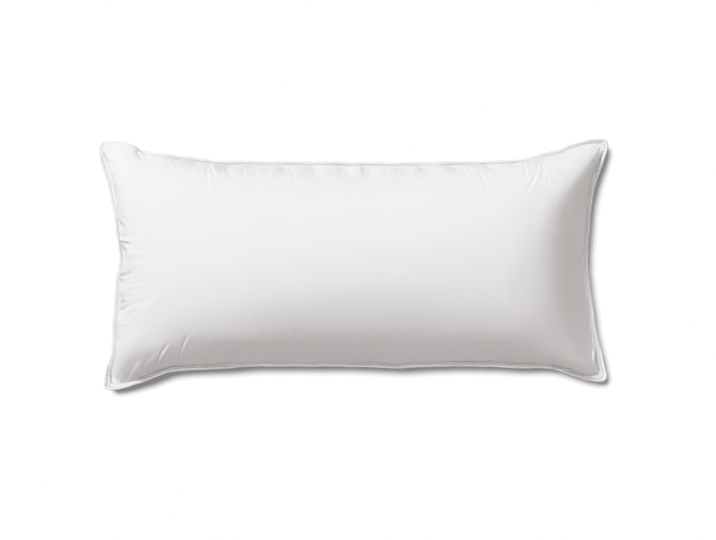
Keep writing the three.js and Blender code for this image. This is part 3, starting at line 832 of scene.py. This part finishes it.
def piping_mesh():
    s = np.linspace(0, ring_len, CORD_STEPS, endpoint=False)
    turn = np.r_[ring_s, ring_len]
    p = np.column_stack([np.interp(s, turn, np.r_[ring[:, c], ring[0, c]]) for c in range(3)])
    out = outward_of(p, s)
    folds = np.interp(s, turn, np.r_[cord_crumple, cord_crumple[0]])
    verts, cloth = [], []
    for k in range(CORD_SIDES):
        a = np.pi - (0.09 * np.pi + (1.82 * np.pi) * k / (CORD_SIDES - 1))
        # The bias strip wraps the cord with slanting pulls, deeper where it is gathered.
        pull = (0.045 * np.sin(2 * np.pi * s / (ring_len / 250) + 1.3 * a) + 0.04 * np.sin(2 * np.pi * s / (ring_len / 417) - 0.9 * a + 1.0)
                + 0.05 * np.sin(2 * np.pi * s / (ring_len / 93) + 0.6 * a) + folds * np.sin(2 * np.pi * s / (ring_len / 430) + 1.1 * a + 1.3 * np.sin(s / 23.0)))
        r = CORD_RADIUS - 0.06 + np.clip(pull, -.75, .5)
        q = p.copy()
        q[:, :2] += out * (r * math.cos(a))[:, None]
        q[:, 2] += r * math.sin(a)
        verts.append(q)
        cloth.append(np.column_stack([s * MM, np.full(len(s), a * CORD_RADIUS * MM), 0 * s]))
    for z in (-0.22, 0.22):
        q = p.copy()
        q[:, :2] -= out * 3.35
        q[:, 2] += z
        verts.append(q)
        cloth.append(np.column_stack([s * MM, np.full(len(s), -0.01), 0 * s]))
    n = len(s)
    ids = np.arange(len(verts) * n).reshape(len(verts), n)
    faces = []
    for k in range(len(verts)):
        a, b = ids[k], ids[(k + 1) % len(verts)]
        faces.append(np.column_stack([a, np.roll(a, -1), np.roll(b, -1), b]))
    return np.vstack(verts) * MM, np.vstack(faces), np.vstack(cloth)


verts, quads, cloth = piping_mesh()
piping = make_mesh("piping_cord", verts, quads)
point_vectors(piping, "cloth", cloth)

for ob in (cover, piping):
    bm = bmesh.new()
    bm.from_mesh(ob.data)
    if bm.calc_volume(signed=True) < 0:
        bmesh.ops.reverse_faces(bm, faces=bm.faces[:])
        bm.to_mesh(ob.data)
    print(ob.name, "volume", round(bm.calc_volume(signed=True), 6), "open edges", sum(1 for e in bm.edges if len(e.link_faces) != 2))
    bm.free()


# ---- Materials ----------------------------------------------------------------------------------------------
def cloth_material(name, colour, roughness, weave_turn=0.0, bump=1.0):
    mat = bpy.data.materials.new(name)
    mat.use_nodes = True
    nt = mat.node_tree
    bsdf = nt.nodes["Principled BSDF"]
    L = nt.links

    def node(kind, **values):
        n = nt.nodes.new(kind)
        for k, v in values.items():
            setattr(n, k, v)
        return n

    where = node("ShaderNodeAttribute", attribute_name="cloth")
    turn = node("ShaderNodeVectorRotate", rotation_type="Z_AXIS")
    turn.inputs["Angle"].default_value = weave_turn
    L.new(where.outputs["Vector"], turn.inputs["Vector"])
    spot = node("ShaderNodeTexCoord")

    # The plain weave, warp over weft, at 0.32 mm.
    def thread(direction, phase):
        w = node("ShaderNodeTexWave", wave_type="BANDS", bands_direction=direction, wave_profile="SIN")
        w.inputs["Scale"].default_value = 2 * math.pi / 0.32e-3 / 20 / 2
        w.inputs["Distortion"].default_value = 0.0
        w.inputs["Phase Offset"].default_value = phase
        L.new(turn.outputs["Vector"], w.inputs["Vector"])
        return w.outputs["Fac"]

    def math_node(op, a, b=None, value=None):
        n = node("ShaderNodeMath", operation=op)
        L.new(a, n.inputs[0])
        if b is not None:
            L.new(b, n.inputs[1])
        if value is not None:
            n.inputs[1].default_value = value
        return n.outputs[0]

    weave = math_node("MULTIPLY", thread("X", 0.0), thread("Y", 0.0))

    # Slubs: threads a little thicker for a few centimetres, both ways.
    def slub(scale):
        m = node("ShaderNodeMapping")
        m.inputs["Scale"].default_value = scale
        L.new(turn.outputs["Vector"], m.inputs["Vector"])
        n = node("ShaderNodeTexNoise")
        n.inputs["Scale"].default_value = 1.0
        n.inputs["Detail"].default_value = 2.0
        L.new(m.outputs["Vector"], n.inputs["Vector"])
        return n.outputs["Fac"]

    slubs = math_node("ADD", slub((60, 1400, 1)), slub((1400, 60, 1)))

    # Soft unevenness of the down under the cloth.
    down = node("ShaderNodeTexNoise")
    down.inputs["Scale"].default_value = 55.0
    down.inputs["Detail"].default_value = 3.0
    down.inputs["Roughness"].default_value = 0.5
    L.new(spot.outputs["Object"], down.inputs["Vector"])

    height = math_node("ADD", math_node("MULTIPLY", weave, value=0.06), math_node("MULTIPLY", slubs, value=0.05))
    height = math_node("ADD", height, math_node("MULTIPLY", down.outputs["Fac"], value=0.9))
    b = node("ShaderNodeBump")
    b.inputs["Strength"].default_value = 0.55 * bump
    b.inputs["Distance"].default_value = 0.0007
    L.new(height, b.inputs["Height"])
    L.new(b.outputs["Normal"], bsdf.inputs["Normal"])

    # Colour: a breath of variation over a few centimetres, and the threads' own.
    tone = node("ShaderNodeTexNoise")
    tone.inputs["Scale"].default_value = 9.0
    tone.inputs["Detail"].default_value = 4.0
    L.new(spot.outputs["Object"], tone.inputs["Vector"])
    ramp = node("ShaderNodeValToRGB")
    ramp.color_ramp.elements[0].position = 0.3
    ramp.color_ramp.elements[1].position = 0.7
    ramp.color_ramp.elements[0].color = [c * 0.978 for c in colour] + [1]
    ramp.color_ramp.elements[1].color = list(colour) + [1]
    L.new(tone.outputs["Fac"], ramp.inputs["Fac"])
    thready = node("ShaderNodeMix", data_type="RGBA", blend_type="MULTIPLY")
    thready.inputs["Factor"].default_value = 0.05
    L.new(ramp.outputs["Color"], thready.inputs["A"])
    L.new(slubs, thready.inputs["B"])
    L.new(thready.outputs["Result"], bsdf.inputs["Base Color"])

    rough = node("ShaderNodeMapRange")
    rough.inputs["To Min"].default_value = roughness - 0.05
    rough.inputs["To Max"].default_value = roughness + 0.05
    L.new(tone.outputs["Fac"], rough.inputs["Value"])
    L.new(rough.outputs["Result"], bsdf.inputs["Roughness"])
    bsdf.inputs["Specular IOR Level"].default_value = 0.25
    bsdf.inputs["Sheen Weight"].default_value = 0.12
    bsdf.inputs["Sheen Roughness"].default_value = 0.45
    bsdf.inputs["Sheen Tint"].default_value = (1, 1, 1, 1)
    return mat


cover.data.materials.append(cloth_material("cover_cloth", (0.86, 0.862, 0.868), 0.72))
piping.data.materials.append(cloth_material("piping_cloth", (0.85, 0.852, 0.857), 0.68, weave_turn=math.radians(45)))

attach(cover, "root")
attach(piping, "root")
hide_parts("pillow_body")
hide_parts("piping")

# ---- Floor, light and camera ----------------------------------------------------------------------------------
floor_mesh = bpy.data.meshes.new("floor")
r = 30.0
floor_mesh.from_pydata([(-r, -r, 0), (r, -r, 0), (r, r, 0), (-r, r, 0)], [], [(0, 1, 2, 3)])
floor = bpy.data.objects.new("floor", floor_mesh)
floor.location.z = -0.0002
bpy.context.scene.collection.objects.link(floor)
fm = bpy.data.materials.new("floor")
fm.use_nodes = True
fb = fm.node_tree.nodes["Principled BSDF"]
fb.inputs["Base Color"].default_value = (0.6, 0.65, 0.645, 1)
fb.inputs["Roughness"].default_value = 1.0
fb.inputs["Specular IOR Level"].default_value = 0.0
floor_mesh.materials.append(fm)
floor.visible_diffuse = False  # the pillow is lit by the studio alone, not by a white floor

world = bpy.data.worlds.new("studio")
bpy.context.scene.world = world
world.use_nodes = True
world.node_tree.nodes["Background"].inputs["Color"].default_value = (1.06, 0.97, 0.98, 1)
world.node_tree.nodes["Background"].inputs["Strength"].default_value = 0.33

only_pillow = bpy.data.collections.new("lit_with_the_pillow")
only_cover = bpy.data.collections.new("lit_with_the_cover")
only_piping = bpy.data.collections.new("lit_with_the_piping")
only_floor = bpy.data.collections.new("lit_with_the_floor")
for ob in (cover, piping):
    only_pillow.objects.link(ob)
only_cover.objects.link(cover)
only_piping.objects.link(piping)
only_floor.objects.link(floor)


def sun(name, tilt, azimuth, strength, spread_deg, colour=(1, 1, 1), receivers=None):
    light = bpy.data.lights.new(name, "SUN")
    light.energy = strength
    light.angle = math.radians(spread_deg)
    light.color = colour
    ob = bpy.data.objects.new(name, light)
    t, a = math.radians(tilt), math.radians(azimuth)
    towards = Vector((math.sin(t) * math.cos(a), math.sin(t) * math.sin(a), math.cos(t)))
    ob.location = towards * 3
    ob.rotation_euler = (-towards).to_track_quat("-Z", "Y").to_euler()
    bpy.context.scene.collection.objects.link(ob)
    if receivers is not None:
        ob.light_linking.receiver_collection = receivers
    return ob


PI = math.pi
sun("key", 53, 131.5, 0.75 * PI, 22, (0.965, 1.0, 1.035), only_cover)
sun("key_on_piping", 53, 131.5, 0.75 * PI, 9, (0.965, 1.0, 1.035), only_piping)
sun("overhead", 12.0, 135, 0.16 * PI, 12.0, (0.95, 1.02, 1.0))
sun("warm_side", 78, -80, 0.045 * PI, 40, (1.0, 0.97, 0.97), only_pillow)
sun("warm_fill", 62, -45, 0.075 * PI, 40, (1.16, 0.95, 0.77), only_cover)
sun("right_side", 80, 0, 0.06 * PI, 40, (1.06, 0.97, 0.95), only_cover)
sun("floor_wash", 13.0, 135, 1.66 * PI, 13.0, (1.08, 1.0, 1.007), only_floor)
# What the white floor throws back: on the piping, which lies low and faces it, and into the contact shadow.
sun("thrown_back", 68, -88, 0.2 * PI, 40, (1, 1, 0.99), only_piping)
sun("floor_fill", 13.0, -45, 0.04 * PI, 13.0, (1, 1, 1), only_floor).light_linking.blocker_collection = only_floor

camera_data = bpy.data.cameras.new("camera")
camera_data.lens = 180.0
camera_data.sensor_width = 36.0
camera = bpy.data.objects.new("camera", camera_data)
MM_PER_PIXEL, SEAM_LEVEL = 1.5185, 0.066
reach = 716 * MM_PER_PIXEL * MM * camera_data.lens / camera_data.sensor_width
camera.location = (0.0068 + 0.0004, -0.0084 - 0.0002, SEAM_LEVEL + reach)
camera.rotation_euler = (0, 0, 0)
bpy.context.scene.collection.objects.link(camera)
bpy.context.scene.camera = camera
view = bpy.context.scene.view_settings
view.view_transform = "Standard"
# Like a camera's own curve: straight below 0.8, and rolled off above it.
view.use_curve_mapping = True
tones = view.curve_mapping
tones.white_level = (1.4, 1.4, 1.4)
curve = tones.curves[3]
curve.points[0].location, curve.points[1].location = (0, 0), (1, 1)
for into, out in ((.2, .2), (.35, .35), (.5, .5), (.65, .65), (.8, .8), (.9, .86), (1.0, .9), (1.1, .97), (1.2, 1.0)):
    curve.points.new(into / 1.4, out)
for point in curve.points:
    point.handle_type = "VECTOR"
tones.update()
